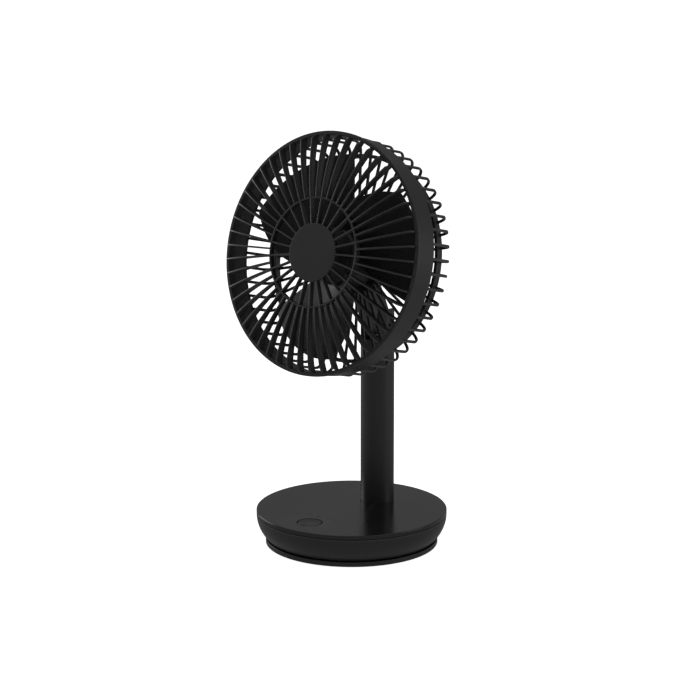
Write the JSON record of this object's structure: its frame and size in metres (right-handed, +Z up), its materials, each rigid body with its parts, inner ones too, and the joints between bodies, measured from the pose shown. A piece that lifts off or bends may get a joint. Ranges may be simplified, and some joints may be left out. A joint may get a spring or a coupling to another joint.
{
  "type": "desk fan",
  "caption": "Small rechargeable desk fan: round swivelling base with button and lamps, slim column, tilting round caged head with a bladed impeller.",
  "frame": {"origin": "centre of the base on the surface it stands on", "axes": "+Z up, the fan blows towards -Y, +X to the right seen from the front"},
  "size_m": [0.189, 0.15, 0.3307],
  "materials": {
    "housing": "satin",
    "top_plate": "satin gloss",
    "grille": "satin",
    "blades": "satin",
    "button": "satin",
    "lamp": "smoked gloss",
    "column": "satin",
    "rubber": "matte",
    "nylon": "satin",
    "steel": "plain",
    "black_steel": "blackened",
    "board": "solder mask",
    "copper": "enamelled wire",
    "magnet": "sintered",
    "battery": "film wrap",
    "foam": "foam"
  },
  "bodies": {
    "stand": {"foot_plate": "housing", "foot_pad": "rubber", "thrust_washer": "nylon", "sun_gear": "nylon", "swivel_screw": "black_steel"},
    "turntable": {"base_bowl": "housing", "top_cover": "top_plate", "cover_screws": "black_steel", "lamp_pipes": "lamp", "lamp_chips": "nylon", "main_board": "board", "board_screws": "black_steel", "switch_body": "housing", "battery_foam": "foam", "battery_pack": "battery", "charge_board": "board", "charge_socket": "steel", "swivel_motor": "steel", "swivel_motor_screws": "black_steel", "column_tube": "column", "column_flange": "column", "column_screws": "black_steel", "tilt_fork": "column", "hinge_bolt": "black_steel", "hinge_nut": "black_steel", "friction_washers": "nylon"},
    "pinion": {"pinion_gear": "nylon", "pinion_shaft": "steel"},
    "button": {"power_button": "button", "switch_plunger": "button"},
    "head": {"tilt_arm": "column", "arm_screws": "black_steel", "rear_grille": "grille", "shroud_ring": "grille", "front_grille": "grille", "bearing_tube": "steel", "motor_bearings": "steel", "stator_core": "steel", "stator_coils": "copper", "motor_board": "board"},
    "rotor": {"rotor_shaft": "steel", "rotor_can": "black_steel", "magnet_ring": "magnet", "impeller": "blades", "impeller_nut": "blades"}
  },
  "joints": [
    {"name": "base_swivel", "type": "hinge", "parent": "stand", "child": "turntable", "pos_m": [0, 0, 0.01], "axis": [0, 0, 1], "range_deg": [-45, 45]},
    {"name": "pinion_spin", "type": "hinge", "parent": "turntable", "child": "pinion", "pos_m": [-0.02025, 0, 0.018], "axis": [0, 0, 1], "range_deg": [-92, 92]},
    {"name": "button_press", "type": "slide", "parent": "turntable", "child": "button", "axis": [0, 0, -1], "range_m": [0, 0.0006], "stiffness_N_per_m": 2000, "springref_m": -0.0005},
    {"name": "head_tilt", "type": "hinge", "parent": "turntable", "child": "head", "pos_m": [0, 0.0317, 0.172], "axis": [-1, 0, 0], "range_deg": [-20, 30]},
    {"name": "fan_spin", "type": "hinge", "parent": "head", "child": "rotor", "pos_m": [0, -0.00869, 0.23189], "axis": [0, -0.9655, 0.2605], "continuous": true}
  ],
  "couplings": [
    {"joint": "pinion_spin", "follows": "base_swivel", "ratio": 2}
  ]
}
